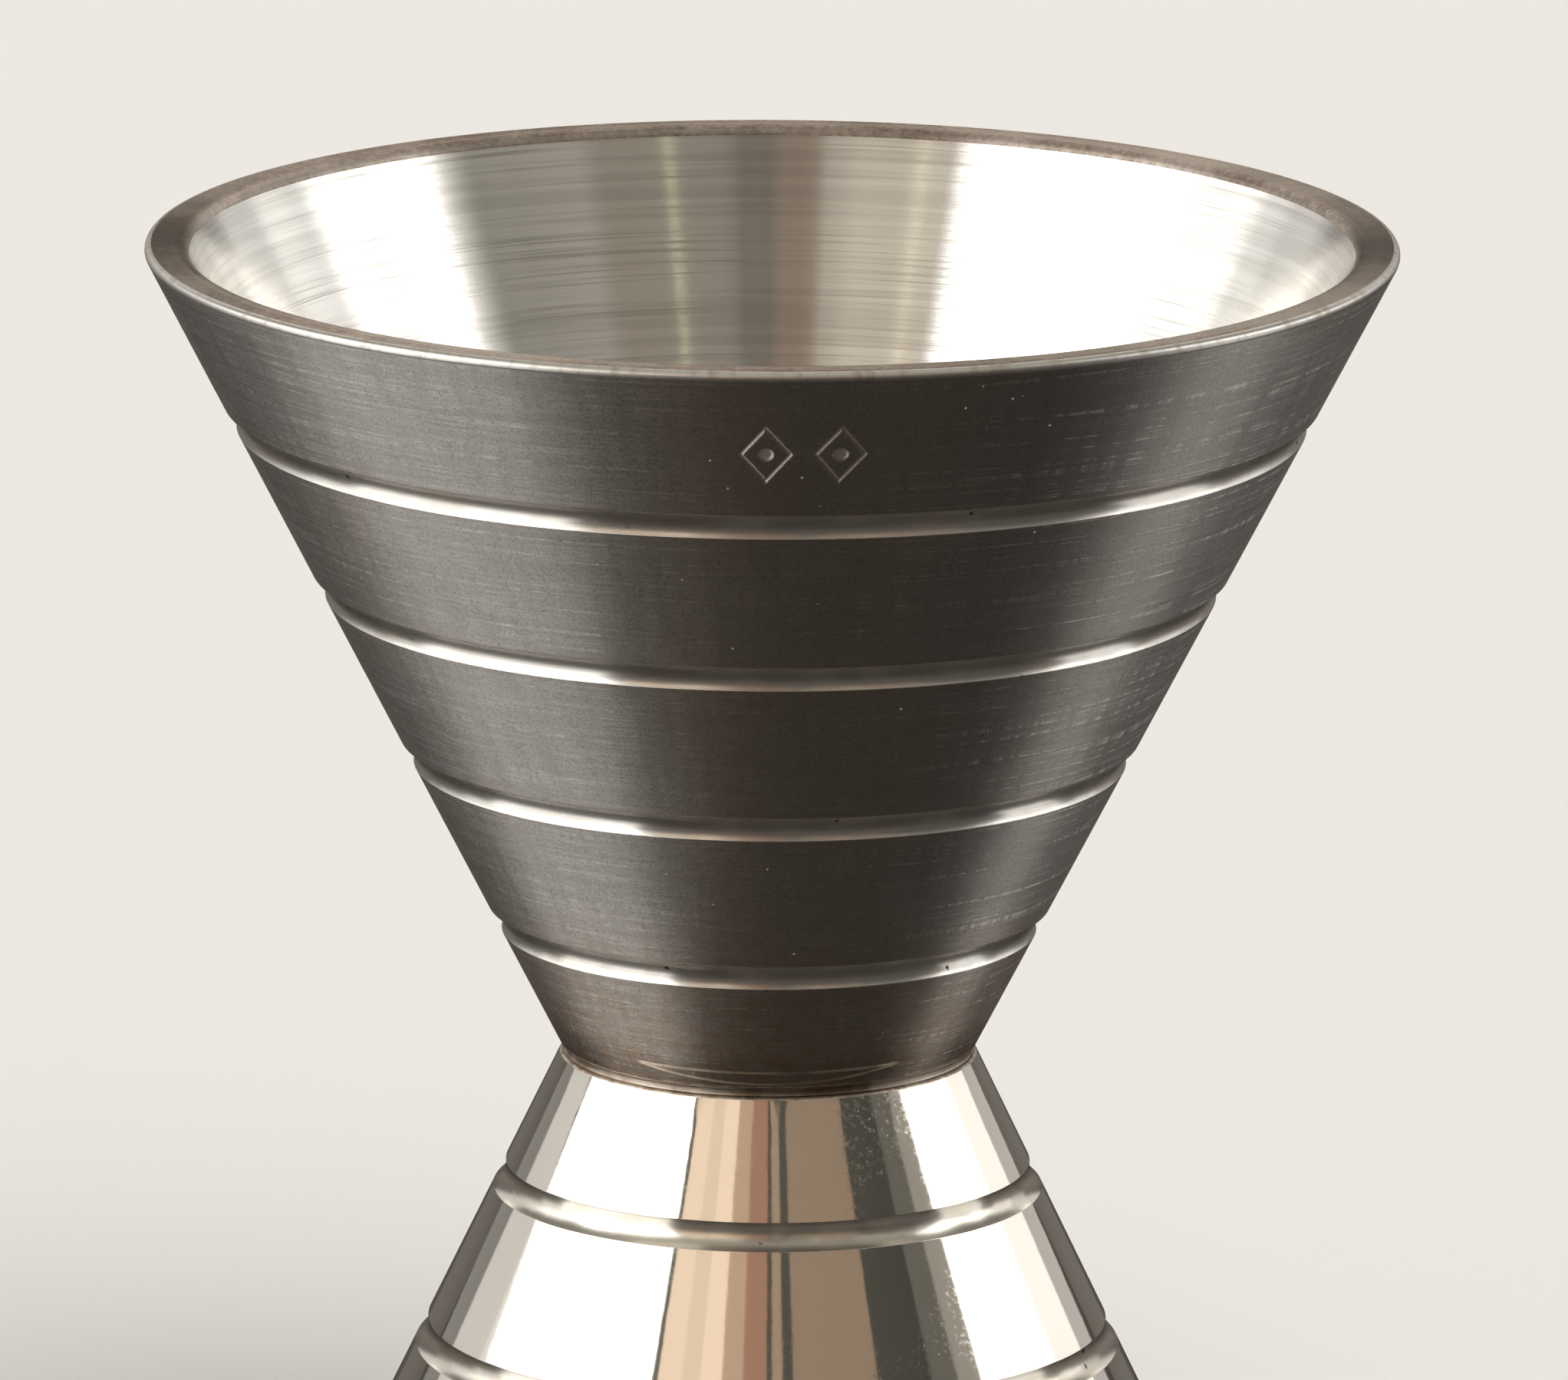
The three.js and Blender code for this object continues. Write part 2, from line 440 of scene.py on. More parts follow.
WARM_SILVER, OLD_WARM_SILVER = (0.92, 0.87, 0.78, 1), (0.70, 0.60, 0.46, 1)
SOLDER, SOLDER_STAIN = (0.55, 0.48, 0.40, 1), (0.28, 0.20, 0.14, 1)
FOOT, FOOT_STAIN = (0.80, 0.72, 0.62, 1), (0.50, 0.40, 0.31, 1)
JOINT_FACE, JOINT_STAIN = (0.55, 0.52, 0.47, 1), (0.35, 0.28, 0.2, 1)
BRASS, OLD_BRASS = (0.71, 0.56, 0.28, 1), (0.42, 0.30, 0.15, 1)
PALE_FLOOR = (0.72, 0.70, 0.67, 1)

# Painted reflection: two faint bright lines on the large cup, close above the waist, standing in for the
# small cup's groove lips mirrored there.
LINES_REACH = 0.64  # radians either side of the front, where they meet
LINES_HEIGHT = 1.32 * MM  # above the waist plane, where they meet
UPPER_SAG, LOWER_SAG = 0.10 * MM, 0.80 * MM
LINE_HALF_WIDTH = 0.13 * MM

STAIN_REACH = 13 * MM  # the brown stain above the waist fades out over this height
SMOOTH_REACH = 3 * MM  # the satin is smoother this close to the waist
RIPPLED_REACH = 2.2 * MM  # the mirror polish is uneven this close to the waist
DUST_FULL, DUST_GONE = -26 * MM, -8 * MM  # x, from the left: dust lies mostly on that side
SCRATCH_START, SCRATCH_FULL = 0.0, 18 * MM  # x: scratches lie mostly on the right side
BLOOM_TURN = 0.55  # radians to the right of the front

MIX_A, MIX_B, MIX_RESULT = 6, 7, 2  # the colour sockets of a Mix node


class Graph:
    """A material's node tree with short calls for the few node kinds used here."""

    def __init__(self, name):
        self.material = bpy.data.materials.new(name)
        self.material.use_nodes = True
        self.tree = self.material.node_tree
        self.shader = self.tree.nodes["Principled BSDF"]

    def add(self, kind, inputs=(), **settings):
        node = self.tree.nodes.new("ShaderNode" + kind)
        for key, value in settings.items():
            setattr(node, key, value)
        for key, value in dict(inputs).items():
            self.feed(node.inputs[key], value)
        return node

    def feed(self, socket, value):
        if isinstance(value, bpy.types.NodeSocket):
            self.tree.links.new(value, socket)
        else:
            socket.default_value = value

    def math(self, operation, a, b=0.0, clamp=False):
        return self.add("Math", {0: a, 1: b}, operation=operation, use_clamp=clamp).outputs[0]

    def vector(self, operation, a, b=(0, 0, 0)):
        return self.add("VectorMath", {0: a, 1: b}, operation=operation).outputs[0]

    def ramp(self, value, low, high, out_low=0.0, out_high=1.0):
        inputs = {"Value": value, "From Min": low, "From Max": high, "To Min": out_low, "To Max": out_high}
        return self.add("MapRange", inputs, interpolation_type="SMOOTHSTEP").outputs[0]

    def noise(self, where, scale, detail=2.0, rough=0.5):
        inputs = {"Vector": where, "Scale": scale, "Detail": detail, "Roughness": rough}
        return self.add("TexNoise", inputs).outputs["Fac"]

    def mix(self, factor, a, b):
        node = self.add("Mix", {"Factor": factor}, data_type="RGBA")
        self.feed(node.inputs[MIX_A], a)
        self.feed(node.inputs[MIX_B], b)
        return node.outputs[MIX_RESULT]

    def bump(self, height, distance, normal=None):
        inputs = {"Height": height, "Distance": distance}
        if normal is not None:
            inputs["Normal"] = normal
        return self.add("Bump", inputs).outputs[0]


def object_place(g):
    return g.add("TexCoord").outputs["Object"]


def coordinates(g):
    """The object's x, y and z."""
    return g.add("SeparateXYZ", {0: object_place(g)}).outputs


def height_above_waist(g):
    return g.math("SUBTRACT", coordinates(g)["Z"], WAIST_Z)


def turn_from_front(g):
    """The turn round the axis from the front, in radians."""
    x, y = coordinates(g)[:2]
    return g.math("ARCTAN2", x, g.math("MULTIPLY", y, -1.0))


def turned_place(g, around, along):
    """Coordinates that change `around` per radian round the axis and `along` per metre along a
    section, height and radius added."""
    x, y, z = coordinates(g)
    flat = g.add("CombineXYZ", {0: x, 1: y, 2: 0.0}).outputs[0]
    radius = g.add("VectorMath", {0: flat}, operation="LENGTH").outputs["Value"]
    ring = g.add("VectorMath", {0: g.vector("NORMALIZE", flat), "Scale": around},
                 operation="SCALE").outputs[0]
    across = g.math("MULTIPLY", g.math("ADD", z, radius), along)
    return g.vector("ADD", ring, g.add("CombineXYZ", {0: 0.0, 1: 0.0, 2: across}).outputs[0])


def turned_noise(g, around, along, detail=2.0, rough=0.5):
    """Noise drawn out round the axis, as a lathe or a buffing wheel leaves it."""
    return g.noise(turned_place(g, around, along), 1.0, detail, rough)


def object_noise(g, scale, detail=2.0, rough=0.5):
    return g.noise(object_place(g), scale, detail, rough)


def specks(g, scale, share, size, where=None):
    """Small soft spots in a share of the cells of a cell pattern. Size is in cells, and the share
    may be a number or a socket."""
    where = object_place(g) if where is None else where
    cells = g.add("TexVoronoi", {"Vector": where, "Scale": scale, "Randomness": 1.0})
    chosen = g.add("TexWhiteNoise", {"Vector": cells.outputs["Position"]}, noise_dimensions="3D")
    spot = g.ramp(cells.outputs["Distance"], size * 0.35, size, 1.0, 0.0)
    return g.math("MULTIPLY", spot, g.math("LESS_THAN", chosen.outputs["Value"], share))


def ragged(g, amount):
    """Object coordinates shaken a little, so that spots aren't round."""
    place = object_place(g)
    shake = g.add("TexNoise", {"Vector": place, "Scale": 2600.0, "Detail": 2.0}).outputs["Color"]
    shift = g.vector("SUBTRACT", shake, (0.5, 0.5, 0.5))
    shift = g.add("VectorMath", {0: shift, "Scale": amount}, operation="SCALE").outputs[0]
    return g.vector("ADD", place, shift)


def crevice(g):
    return g.add("Attribute", attribute_name="crevice").outputs["Fac"]


def tarnish_mask(g, cloud_scale, amount, crevice_gain):
    """Clouded tarnish, thicker in the grooves and along the waist seam."""
    clouds = object_noise(g, cloud_scale, detail=5.0, rough=0.6)
    blotches = object_noise(g, cloud_scale * 6, detail=3.0, rough=0.6)
    near = g.math("MULTIPLY", g.math("MULTIPLY", crevice(g), blotches), crevice_gain)
    spread = g.ramp(clouds, 0.45, 0.85, 0.0, amount)
    return g.math("ADD", spread, near, clamp=True)


def near_waist(g, reach):
    """1 at the waist seam, falling to 0 at `reach` above or below it."""
    away = g.math("ABSOLUTE", height_above_waist(g))
    return g.ramp(away, 0.0, reach, 1.0, 0.0)


def dirt_spots(g):
    """A few dark red-brown pits along the grooves."""
    pits = specks(g, 1700.0, 0.035, 0.30, ragged(g, 0.3 * MM))
    return g.math("MULTIPLY", pits, g.ramp(crevice(g), 0.2, 0.5))


def finish_metal(g, colour, roughness, anisotropy, normal=None, metallic=1.0):
    g.feed(g.shader.inputs["Base Color"], colour)
    g.feed(g.shader.inputs["Roughness"], roughness)
    g.feed(g.shader.inputs["Metallic"], metallic)
    g.shader.inputs["Anisotropic"].default_value = anisotropy
    if anisotropy:
        tangent = g.add("Tangent", direction_type="RADIAL", axis="Z")
        g.feed(g.shader.inputs["Tangent"], tangent.outputs[0])
        g.shader.inputs["Anisotropic Rotation"].default_value = ACROSS_THE_TURNING
    if normal is not None:
        g.feed(g.shader.inputs["Normal"], normal)
    return g.material


def painted_lip_reflections(g):
    """Painted reflection of the small cup's groove lips: two faint lines across the front, close above the
    waist, that meet at both ends.
    """
    height = height_above_waist(g)
    part = g.math("DIVIDE", turn_from_front(g), LINES_REACH)
    sag = g.math("SUBTRACT", 1.0, g.math("MULTIPLY", part, part))
    near = []
    for drop, strength in ((UPPER_SAG, 1.0), (LOWER_SAG, 0.85)):
        line = g.math("SUBTRACT", LINES_HEIGHT, g.math("MULTIPLY", sag, drop))
        away = g.math("ABSOLUTE", g.math("SUBTRACT", height, line))
        near.append(g.ramp(away, 0.0, LINE_HALF_WIDTH, strength, 0.0))
    broken = g.ramp(object_noise(g, 500.0), 0.3, 0.6, 0.35, 1.0)
    lines = g.math("MULTIPLY", g.math("MAXIMUM", *near), broken)
    aside = g.math("ABSOLUTE", part)
    lines = g.math("MULTIPLY", lines, g.ramp(aside, 0.2, 0.9, 0.6, 1.0))
    return g.math("MULTIPLY", lines, g.ramp(aside, 0.92, 1.02, 1.0, 0.0))


def satin_outside():
    """Finely turned satin plate: rings, grain, faint long scratches, dust, a brown tarnish and a painted
    reflection of the small cup's groove lips.
    """
    g = Graph("satin_plate_outside")
    x = coordinates(g)["X"]
    rings = turned_noise(g, around=1.6, along=9000, detail=3.0, rough=0.7)
    strokes = turned_noise(g, around=4.0, along=5200, detail=4.0, rough=0.7)
    scratches = turned_noise(g, around=1.1, along=4200, detail=2.0, rough=0.6)
    uneven = turned_noise(g, around=34.0, along=120, detail=4.0, rough=0.65)
    grain = object_noise(g, 6500.0, detail=2.0, rough=0.7)
    smudge = turned_noise(g, around=9.0, along=900, detail=4.0, rough=0.6)
    stain = g.math("MULTIPLY", near_waist(g, STAIN_REACH), g.ramp(smudge, 0.35, 0.7, 0.35, 0.9))
    mask = g.math("ADD", tarnish_mask(g, 60.0, 0.35, 0.4), stain, clamp=True)
    colour = g.mix(mask, SATIN, SATIN_TARNISH)
    colour = g.mix(g.ramp(strokes, 0.50, 0.78, 0.0, 0.5), colour, SATIN_STROKE)
    scratched = g.math("MULTIPLY", g.ramp(scratches, 0.57, 0.64), g.ramp(uneven, 0.40, 0.60))
    scratched = g.math("MULTIPLY", scratched, g.ramp(x, SCRATCH_START, SCRATCH_FULL, 0.3, 1.0))
    colour = g.mix(g.math("MULTIPLY", scratched, 0.8), colour, SATIN_SCRATCH)
    colour = g.mix(g.ramp(grain, 0.25, 0.60, 0.45, 0.0), colour, SATIN_PORE)
    cut = g.add("Attribute", attribute_name="cut").outputs["Fac"]
    ragged_cut = g.math("MULTIPLY", cut, g.ramp(grain, 0.3, 0.6, 0.55, 1.0))
    colour = g.mix(ragged_cut, colour, FRESH_CUT)
    # Painted reflection: bright lines above the waist where the small cup's groove lips are mirrored.
    lines = painted_lip_reflections(g)
    colour = g.mix(lines, colour, PAINTED_LIP_REFLECTION)
    dusty = g.ramp(object_noise(g, 130.0, detail=2.0), 0.35, 0.60, 0.3, 1.0)
    settled = g.math("MULTIPLY", dusty, g.ramp(x, DUST_FULL, DUST_GONE, 1.0, 0.08))
    fine = specks(g, 2600.0, g.math("MULTIPLY", settled, 0.16), 0.22)
    coarse = specks(g, 1200.0, g.math("MULTIPLY", settled, 0.05), 0.14)
    dust = g.math("MAXIMUM", fine, coarse)
    colour = g.mix(dust, colour, DUST)
    colour = g.mix(dirt_spots(g), colour, DIRT)
    roughness = g.ramp(strokes, 0.3, 0.75, 0.43, 0.49)
    roughness = g.math("ADD", roughness, g.ramp(grain, 0.3, 0.7, -0.015, 0.015))
    roughness = g.math("SUBTRACT", roughness, g.math("MULTIPLY", near_waist(g, SMOOTH_REACH), 0.12))
    roughness = g.math("ADD", roughness, g.ramp(uneven, 0.3, 0.7, -0.014, 0.014))
    roughness = g.math("ADD", roughness, g.math("MULTIPLY", cut, 0.34))
    roughness = g.math("ADD", roughness, g.math("MULTIPLY", lines, 0.50))
    roughness = g.math("ADD", roughness, g.math("MULTIPLY", scratched, 0.14))
    metallic = g.math("SUBTRACT", 1.0, dust, clamp=True)
    normal = g.bump(rings, 1.5 * MICRON)
    normal = g.bump(strokes, 3.0 * MICRON, normal=normal)
    normal = g.bump(scratched, -8.0 * MICRON, normal=normal)
    normal = g.bump(grain, 0.8 * MICRON, normal=normal)
    return finish_metal(g, colour, roughness, 0.9, normal, metallic)


def bright_groove(name, smoothest, bright, dull, residue):
    """A groove's turned bottom: brighter than the cone, with fine rings and a little brown residue,
    which is partly bare of metal."""
    g = Graph(name)
    rings = turned_noise(g, around=2.0, along=6500, detail=2.0)
    patches = turned_noise(g, around=7.0, along=500, detail=3.0)
    colour = g.mix(g.ramp(patches, 0.42, 0.70, 0.0, 0.4), bright, dull)
    colour = g.mix(g.ramp(rings, 0.50, 0.70, 0.0, 0.3), colour, dull)
    spots = dirt_spots(g)
    colour = g.mix(spots, colour, DIRT)
    roughness = g.ramp(rings, 0.3, 0.7, smoothest, smoothest + 0.03)
    left = g.ramp(patches, 0.45, 0.70, residue * 0.3, residue)
    metallic = g.math("SUBTRACT", 1.0, g.math("MULTIPLY", left, g.math("SUBTRACT", 1.0, spots)))
    return finish_metal(g, colour, roughness, 0.9, g.bump(rings, 0.4 * MICRON), metallic)


def worn_lip(name, smoothest, bright, dull):
    """The rubbed lip of a groove or of the rim: bright and slightly nicked."""
    g = Graph(name)
    nicks = turned_noise(g, around=40.0, along=1200, detail=3.0, rough=0.6)
    colour = g.mix(g.ramp(nicks, 0.46, 0.70, 0.0, 0.7), bright, dull)
    colour = g.mix(dirt_spots(g), colour, DIRT)
    roughness = g.ramp(nicks, 0.3, 0.7, smoothest, smoothest + 0.08)
    return finish_metal(g, colour, roughness, 0.0, g.bump(nicks, 2.0 * MICRON))


def turned_rim():
    """The flat rim: dull, mottled grey-brown, with faint turning rings and pale handling specks."""
    g = Graph("turned_rim")
    rings = turned_noise(g, around=1.2, along=6000, detail=3.0, rough=0.7)
    bands = turned_noise(g, around=0.5, along=1400, detail=1.0)
    mottle = object_noise(g, 2600.0, detail=3.0, rough=0.7)
    clouds = object_noise(g, 240.0, detail=3.0, rough=0.6)
    mask = g.math("ADD", g.ramp(mottle, 0.35, 0.65, 0.0, 0.5), g.ramp(clouds, 0.35, 0.65, 0.0, 0.5))
    colour = g.mix(mask, RIM, RIM_MOTTLE)
    colour = g.mix(g.ramp(bands, 0.50, 0.62, 0.0, 0.35), colour, RIM_BAND)
    colour = g.mix(specks(g, 2600.0, 0.07, 0.18), colour, RIM_SPECK)
    roughness = g.ramp(mottle, 0.3, 0.7, 0.36, 0.44)
    return finish_metal(g, colour, roughness, 0.9, g.bump(rings, 2.0 * MICRON))


def turned_inside():
    """The inside of a cup: bright, with long fine lathe lines and a few scratches."""
    g = Graph("turned_inside")
    lines = turned_noise(g, around=0.9, along=3600, detail=4.0, rough=0.75)
    broad = turned_noise(g, around=0.8, along=900, detail=2.0, rough=0.6)
    fine = turned_noise(g, around=3.0, along=9000, detail=2.0)
    gaps = turned_noise(g, around=2.2, along=160, detail=2.0)
    shown = g.math("MULTIPLY", g.ramp(lines, 0.52, 0.64), g.ramp(gaps, 0.35, 0.6, 0.3, 1.0))
    cells = g.add("TexVoronoi", {"Vector": turned_place(g, around=9.0, along=420), "Scale": 1.0},
                  feature="DISTANCE_TO_EDGE").outputs["Distance"]
    scratches = g.ramp(cells, 0.0, 0.010, 1.0, 0.0)
    colour = g.mix(g.ramp(broad, 0.42, 0.60), INSIDE, INSIDE_DULL)
    colour = g.mix(g.math("MULTIPLY", shown, 0.7), colour, INSIDE_LINE)
    colour = g.mix(g.math("MULTIPLY", scratches, 0.2), colour, INSIDE_SCRATCH)
    roughness = g.math("ADD", g.ramp(lines, 0.35, 0.75, 0.17, 0.21), g.math("MULTIPLY", shown, 0.04))
    normal = g.bump(fine, 0.6 * MICRON)
    normal = g.bump(lines, 2.0 * MICRON, normal=normal)
    normal = g.bump(broad, 2.5 * MICRON, normal=normal)
    return finish_metal(g, colour, roughness, 0.95, normal)


def mirror_polish():
    """Mirror-polished plate: slightly wavy and warm, with hairlines, tarnish and a patch of bloom
    right of the front."""
    g = Graph("polished_plate_outside")
    mask = tarnish_mask(g, 110.0, 0.15, 0.35)
    wave = object_noise(g, 110.0, detail=1.0)
    ripple = object_noise(g, 420.0, detail=1.0)
    chatter = turned_noise(g, around=16.0, along=2600, detail=1.0)
    by_seam = turned_noise(g, around=9.0, along=300, detail=1.0)
    mottle = object_noise(g, 3600.0, detail=3.0, rough=0.7)
    from_bloom = g.math("ABSOLUTE", g.math("SUBTRACT", turn_from_front(g), BLOOM_TURN))
    bloomed = g.ramp(from_bloom, 0.12, 0.5, 1.0, 0.15)
    patches = g.ramp(object_noise(g, 150.0, detail=3.0, rough=0.6), 0.36, 0.60)
    patches = g.math("MULTIPLY", patches, bloomed)
    bloom = g.math("MULTIPLY", g.ramp(mottle, 0.45, 0.75), patches)
    flecks = g.math("MULTIPLY", specks(g, 3200.0, 0.35, 0.27), patches)
    hairs = turned_noise(g, around=3.0, along=5200, detail=3.0, rough=0.7)
    colour = g.mix(mask, POLISH, POLISH_TARNISH)
    colour = g.mix(dirt_spots(g), colour, POLISH_DIRT)
    roughness = g.math("ADD", 0.05, g.math("MULTIPLY", mask, 0.10))
    roughness = g.math("ADD", roughness, g.math("MULTIPLY", bloom, 0.26))
    roughness = g.math("MAXIMUM", roughness, g.math("MULTIPLY", flecks, 0.45))
    normal = g.bump(hairs, 0.15 * MICRON)
    normal = g.bump(ripple, 1.6 * MICRON, normal=normal)
    normal = g.bump(chatter, 1.6 * MICRON, normal=normal)
    normal = g.bump(g.math("MULTIPLY", by_seam, near_waist(g, RIPPLED_REACH)), 22 * MICRON, normal=normal)
    normal = g.bump(wave, 14 * MICRON, normal=normal)
    return finish_metal(g, colour, roughness, 0.0, normal)


def dull_solder():
    """Silver solder in the seam, dulled brown where polish can't reach."""
    g = Graph("silver_solder")
    flow = object_noise(g, 900.0, detail=4.0, rough=0.65)
    stain = g.ramp(object_noise(g, 350.0, detail=3.0), 0.38, 0.62)
    colour = g.mix(stain, SOLDER, SOLDER_STAIN)
    roughness = g.ramp(flow, 0.3, 0.7, 0.35, 0.55)
    return finish_metal(g, colour, roughness, 0.0, g.bump(flow, 12.0 * MICRON))


def stained_foot():
    """The cups' rounded edges at the seam, which polish hardly reaches: grey-brown and clouded."""
    g = Graph("stained_foot")
    clouds = turned_noise(g, around=14.0, along=900, detail=3.0, rough=0.6)
    colour = g.mix(g.ramp(clouds, 0.38, 0.64), FOOT, FOOT_STAIN)
    roughness = g.ramp(clouds, 0.3, 0.7, 0.38, 0.50)
    return finish_metal(g, colour, roughness, 0.0, g.bump(clouds, 3.0 * MICRON))


def machined(name, colour, worn):
    """A hidden machined face: plain tool rings and a slight stain."""
    g = Graph(name)
    rings = turned_noise(g, around=1.5, along=5000, detail=2.0)
    stain = g.ramp(object_noise(g, 300.0, detail=3.0), 0.4, 0.7, 0.0, 0.6)
    roughness = g.ramp(rings, 0.3, 0.7, 0.3, 0.45)
    return finish_metal(g, g.mix(stain, colour, worn), roughness, 0.0, g.bump(rings, 3.0 * MICRON))


FINISHES = {
    "outside": satin_outside(),
    "groove": bright_groove("satin_cup_groove", 0.24, SILVER, OLD_SILVER, 0.06),
    "lip": worn_lip("satin_cup_lip", 0.28, SILVER, OLD_SILVER),
    "edge": worn_lip("satin_cup_edge", 0.36, SILVER, OLD_SILVER),
    "rim": turned_rim(),
    "inside": turned_inside(),
    "polished": mirror_polish(),
    "polished_groove": bright_groove("polished_cup_groove", 0.20, WARM_SILVER, OLD_WARM_SILVER, 0.06),
    "polished_lip": worn_lip("polished_cup_lip", 0.12, WARM_SILVER, OLD_WARM_SILVER),
    "foot": stained_foot(),
    "solder": dull_solder(),
    "joint": machined("machined_joint_face", JOINT_FACE, JOINT_STAIN),
    "stud": machined("stud_brass", BRASS, OLD_BRASS),
}


# ---------------------------------------------------------------- stage

PANEL_DISTANCE = 1.0
CARD = (22, 38.5)  # elevations of the cards by the lens
HIGH_CARD = (38.5, 48)
SLIT = (39, 48)


def upright_panel(name, azimuths, elevations, radiance, colour):
    """An upright rectangular light that fills the given azimuths and elevations, in degrees, as the
    jigger's waist sees them. Azimuth 0 is the camera's side and grows to its right. Only glossy
    surfaces show it."""
    first, last = (math.radians(a) for a in azimuths)
    low, high = (math.tan(math.radians(e)) * PANEL_DISTANCE + WAIST_Z for e in elevations)
    middle = (first + last) / 2
    outward = Vector((math.sin(middle), -math.cos(middle), 0))
    data = bpy.data.lights.new(name, "AREA")
    data.shape = "RECTANGLE"
    data.size = 2 * PANEL_DISTANCE * math.tan(abs(last - first) / 2)
    data.size_y = high - low
    data.energy = radiance * math.pi * data.size * data.size_y
    data.color = colour
    light = bpy.data.objects.new(name, data)
    light.location = outward * PANEL_DISTANCE + Vector((0, 0, (low + high) / 2))
    light.rotation_mode = "QUATERNION"
    light.rotation_quaternion = outward.to_track_quat("Z", "Y")
    light.visible_camera = False
    light.visible_diffuse = False
    bpy.context.scene.collection.objects.link(light)


DAYLIGHT = (1.0, 0.985, 0.96)
WARM = (1.0, 0.94, 0.84)
PALE = (1.0, 0.93, 0.84)
CREAM = (1.0, 0.79, 0.61)
TAN = (1.0, 0.68, 0.45)
RUST = (1.0, 0.46, 0.30)
GREENISH = (0.95, 1.0, 0.62)


def make_lights():
    """Softboxes on both sides, each weaker towards its back, cards by the lens and one softbox
    behind, all for the metal alone. The floor has two lights of its own."""
    upright_panel("left_softbox", (-43, -100), (17, 46), 2.5, DAYLIGHT)
    upright_panel("left_softbox_low", (-43, -100), (-25, 17), 1.3, DAYLIGHT)
    upright_panel("left_softbox_side", (-100, -114), (14, 32), 1.6, DAYLIGHT)
    upright_panel("left_softbox_corner", (-114, -121), (14.8, 30), 1.6, DAYLIGHT)
    upright_panel("left_softbox_foot", (-100, -114), (-2, 14), 0.75, DAYLIGHT)
    upright_panel("left_wing", (-114, -131), (5, 14.2), 0.62, DAYLIGHT)
    upright_panel("left_high_wing", (-121, -131), (14.2, 26), 0.9, DAYLIGHT)
    upright_panel("left_far_wing", (-131, -142), (2, 9.5), 0.20, DAYLIGHT)
    upright_panel("left_back_wing", (-131, -162), (9.5, 24), 0.62, DAYLIGHT)
    upright_panel("left_edge", (-142, -168), (-9, 6), 0.06, WARM)
    upright_panel("right_softbox", (81, 100), (17, 46), 2.2, DAYLIGHT)
    upright_panel("right_softbox_low", (81, 106), (-25, 12), 0.82, DAYLIGHT)
    upright_panel("right_softbox_side", (100, 115), (12, 31), 1.9, DAYLIGHT)
    upright_panel("right_wing", (115, 131), (5, 24), 1.1, DAYLIGHT)
    upright_panel("right_far_wing", (131, 144), (2, 9.5), 0.46, DAYLIGHT)
    upright_panel("right_back_wing", (131, 162), (9.5, 24), 0.65, DAYLIGHT)
    upright_panel("right_edge", (144, 168), (-9, 5), 0.07, WARM)
    upright_panel("left_card", (-41, -32), CARD, 0.88, CREAM)
    upright_panel("left_card_fold", (-32, -25), CARD, 0.76, CREAM)
    upright_panel("left_card_middle", (-25, -17), CARD, 0.90, CREAM)
    upright_panel("left_card_end", (-17, -9), CARD, 0.46, TAN)
    upright_panel("lens_strip", (-9, 0), CARD, 0.30, RUST)
    upright_panel("right_card_end", (2, 6), CARD, 0.30, TAN)
    upright_panel("right_card", (10, 42), CARD, 0.23, TAN)
    upright_panel("left_high_card", (-43, -12), HIGH_CARD, 0.52, PALE)
    upright_panel("lens_high_strip", (-12, 0), HIGH_CARD, 0.12, TAN)
    upright_panel("left_high_slit", (-36.6, -35.8), SLIT, 1.6, GREENISH)
    upright_panel("right_high_slit", (24.4, 25.2), SLIT, 1.6, GREENISH)
    upright_panel("right_high_card", (8, 44), HIGH_CARD, 0.17, PALE)
    upright_panel("right_far_card", (44, 72), (36, 48), 0.34, PALE)
    upright_panel("right_dim_card", (62, 72), (22, 35), 0.08, WARM)
    upright_panel("right_near_card", (72, 81), (22, 46), 0.27, WARM)
    upright_panel("back_softbox", (149, 211), (22, 48), 0.7, WARM)
    floor_sun("floor_light", 2.3, 50, (0.45, -0.55, 1))
    floor_sun("floor_fill", 1.1, 160, (-0.2, -0.2, 1))


def floor_sun(name, strength, spread, towards):
    """A soft light for the floor and for other matt surfaces. Metal doesn't mirror it."""
    data = bpy.data.lights.new(name, "SUN")
    data.energy, data.angle = strength, math.radians(spread)
    light = bpy.data.objects.new(name, data)
    light.rotation_mode = "QUATERNION"
    light.rotation_quaternion = Vector(towards).to_track_quat("Z", "Y")
    light.visible_glossy = False
    bpy.context.scene.collection.objects.link(light)


def make_world():
    """Dim surroundings: dark and warm below, a little lighter at the horizon and pale grey overhead."""
    world = bpy.data.worlds.new("dim_studio")
    world.use_nodes = True
    world.cycles.sampling_method = "NONE"
    tree = world.node_tree
    where = tree.nodes.new("ShaderNodeTexCoord")
    split = tree.nodes.new("ShaderNodeSeparateXYZ")
    ramp = tree.nodes.new("ShaderNodeValToRGB")
    tree.links.new(where.outputs["Generated"], split.inputs[0])
    height = tree.nodes.new("ShaderNodeMapRange")
    height.inputs["From Min"].default_value = -1
    tree.links.new(split.outputs["Z"], height.inputs["Value"])
    tree.links.new(height.outputs[0], ramp.inputs[0])
    tree.links.new(ramp.outputs[0], tree.nodes["Background"].inputs["Color"])
    stops = ramp.color_ramp.elements
    stops[0].position, stops[0].color = 0.37, (0.032, 0.026, 0.023, 1)
    stops[1].position, stops[1].color = 1.0, (0.45, 0.43, 0.38, 1)
    stops.new(0.42).color = (0.100, 0.090, 0.080, 1)
    stops.new(0.48).color = (0.100, 0.092, 0.082, 1)
    stops.new(0.56).color = (0.042, 0.038, 0.034, 1)
    stops.new(0.72).color = (0.051, 0.051, 0.045, 1)
    stops.new(0.85).color = (0.110, 0.105, 0.090, 1)
    bpy.context.scene.world = world


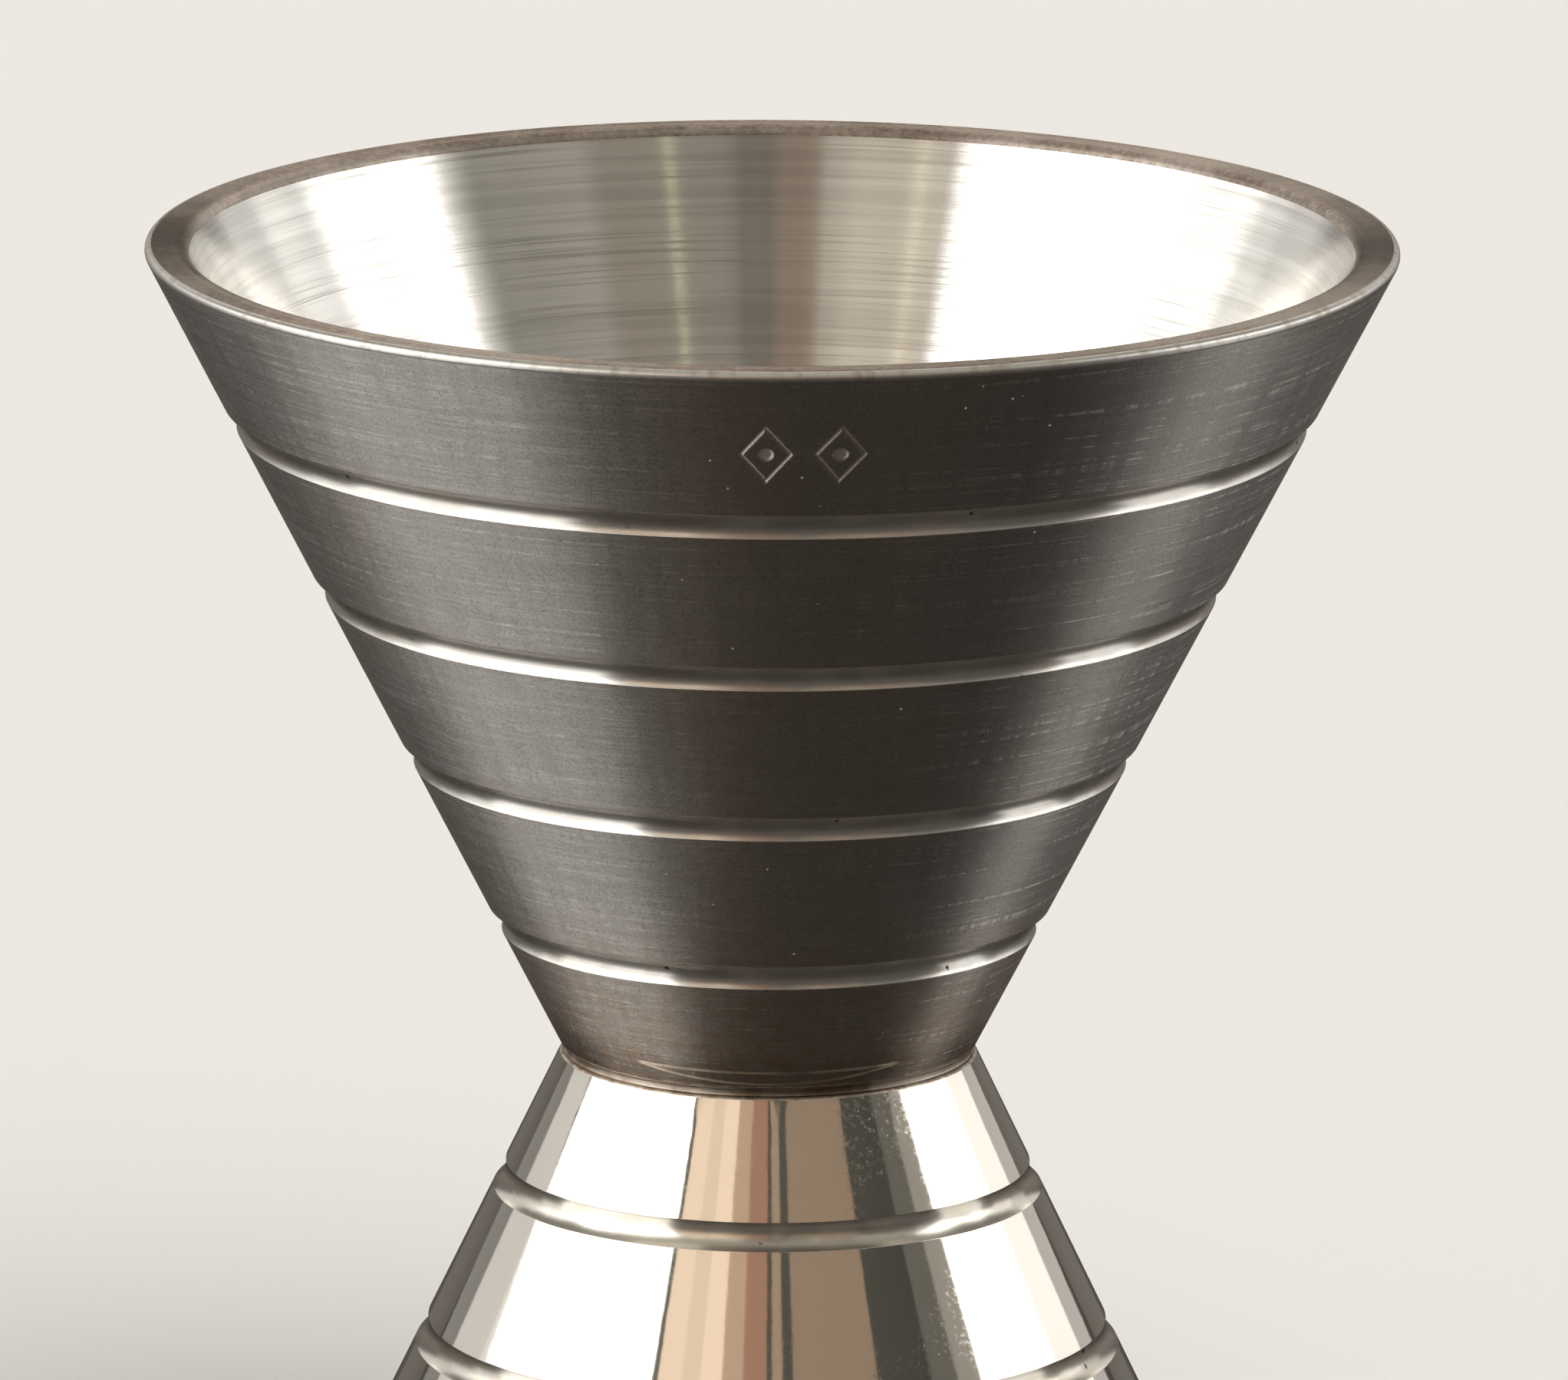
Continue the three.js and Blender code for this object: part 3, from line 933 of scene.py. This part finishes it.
def make_floor():
    """A round pale floor that curves up into a wall far away. The metal doesn't mirror it, and it
    casts no shadow, so that the panels' parts below it still reach the metal."""
    flat, curve, wall = 4.0, 1.5, 2.0
    angles = np.linspace(0, math.pi / 2, 13)
    bend = np.column_stack((flat + curve * np.sin(angles), curve * (1 - np.cos(angles))))
    section = np.vstack(([(0.0, 0.0)], bend, [(flat + curve, curve + wall)]))
    around = even_angles(96)
    vertices, faces = [(0.0, 0.0, 0.0)], []
    for radius, height in section[1:]:
        vertices += [(radius * math.sin(a), -radius * math.cos(a), height) for a in around]
    count = len(around)
    for k in range(count):
        faces.append((0, 1 + k, 1 + (k + 1) % count))
    for row in range(len(section) - 2):
        start = 1 + row * count
        for k in range(count):
            following = (k + 1) % count
            faces.append((start + k, start + count + k, start + count + following, start + following))
    mesh = bpy.data.meshes.new("studio_floor")
    mesh.from_pydata(vertices, [], faces)
    mesh.polygons.foreach_set("use_smooth", [True] * len(faces))
    g = Graph("pale_floor")
    g.shader.inputs["Base Color"].default_value = PALE_FLOOR
    g.shader.inputs["Roughness"].default_value = 0.9
    g.shader.inputs["Specular IOR Level"].default_value = 0.1
    mesh.materials.append(g.material)
    floor = bpy.data.objects.new("studio_floor", mesh)
    floor.visible_glossy = False
    floor.visible_shadow = False
    floor.location.z = cad_box[0].z
    bpy.context.scene.collection.objects.link(floor)


# The camera: a long lens a little above the large rim. Distances are in large-rim radii.
CAMERA_DISTANCE = 32.3
CAMERA_ELEVATION = math.radians(11.68)  # above the rim, seen from the middle of the rim
CAMERA_PITCH = math.radians(12.94)
CAMERA_YAW = math.radians(0.04)
CAMERA_ROLL = math.radians(-0.3)
CAMERA_LENS = 467.4
SENSOR = 36.0


def make_camera():
    data = bpy.data.cameras.new("camera")
    data.lens, data.sensor_width = CAMERA_LENS, SENSOR
    data.clip_start, data.clip_end = 0.05, 50
    camera = bpy.data.objects.new("camera", data)
    away = CAMERA_DISTANCE * large_high.x
    above_rim = away * math.sin(CAMERA_ELEVATION)
    place = Vector((0, -away * math.cos(CAMERA_ELEVATION), large_high.z + above_rim))
    pitch, yaw, roll = CAMERA_PITCH, CAMERA_YAW, CAMERA_ROLL
    ahead = Vector((math.sin(yaw) * math.cos(pitch), math.cos(yaw) * math.cos(pitch), -math.sin(pitch)))
    level = Vector((math.cos(yaw), -math.sin(yaw), 0))
    upright = level.cross(ahead)
    right = level * math.cos(roll) - upright * math.sin(roll)
    up = level * math.sin(roll) + upright * math.cos(roll)
    turn = Matrix((right, up, -ahead)).transposed()
    camera.matrix_world = Matrix.Translation(place) @ turn.to_4x4()
    bpy.context.scene.collection.objects.link(camera)
    bpy.context.scene.camera = camera


# ---------------------------------------------------------------- assembly

def stand_for(piece, node):
    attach(piece, BODY)
    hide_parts(node)


make_camera()
make_floor()
make_lights()
make_world()
bpy.context.scene.view_settings.view_transform = "Standard"

stand_for(make_large_cup(), "large_cup")
stand_for(make_small_cup(), "small_cup")
stand_for(make_solder_ring(), "solder_ring")
stand_for(make_stud(), "joining_stud")
